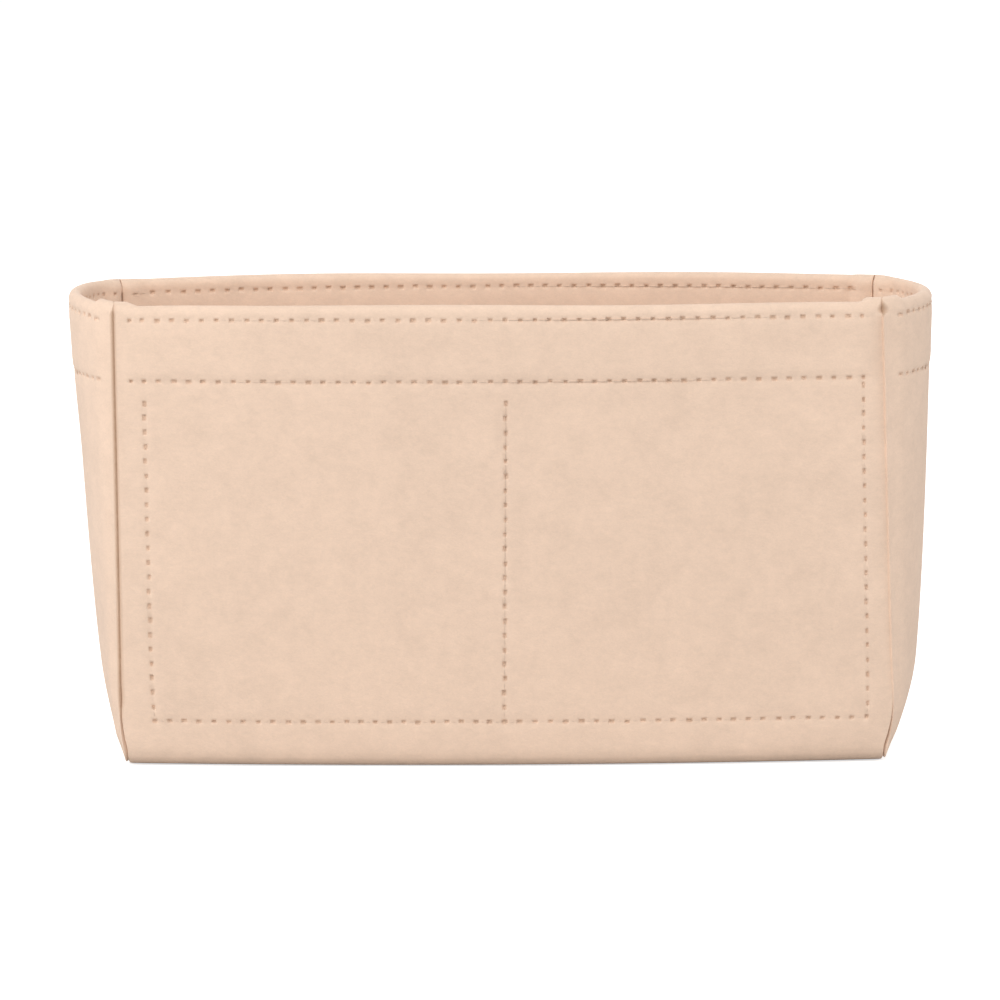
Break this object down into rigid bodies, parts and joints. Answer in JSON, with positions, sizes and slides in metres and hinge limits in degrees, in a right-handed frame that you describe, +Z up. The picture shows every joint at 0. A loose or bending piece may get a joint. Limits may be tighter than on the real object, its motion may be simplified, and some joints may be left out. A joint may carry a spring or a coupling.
{
  "type": "purse organizer insert",
  "caption": "Open-topped soft felt box with outward-bowed ends, a folded and stitched rim, and slip pockets sewn inside both long walls.",
  "frame": {"origin": "on the table, under the middle of the box", "axes": "+X along the width, to the right seen from the front; +Y from the front wall to the back wall; +Z up"},
  "size_m": [0.251, 0.0894, 0.1352],
  "materials": {
    "felt": "beige pressed felt, matt, with a fine mottled fibre texture",
    "thread": "tan polyester sewing thread"
  },
  "bodies": {
    "root": {"body_strip": "felt", "gusset_left": "felt", "gusset_right": "felt", "front_pocket": "felt", "back_pocket": "felt", "rim_thread": "thread", "hem_thread": "thread", "front_pocket_thread": "thread", "front_divider_thread": "thread", "back_pocket_thread": "thread", "back_divider_thread": "thread", "seam_thread_left": "thread", "seam_thread_right": "thread"}
  },
  "joints": []
}
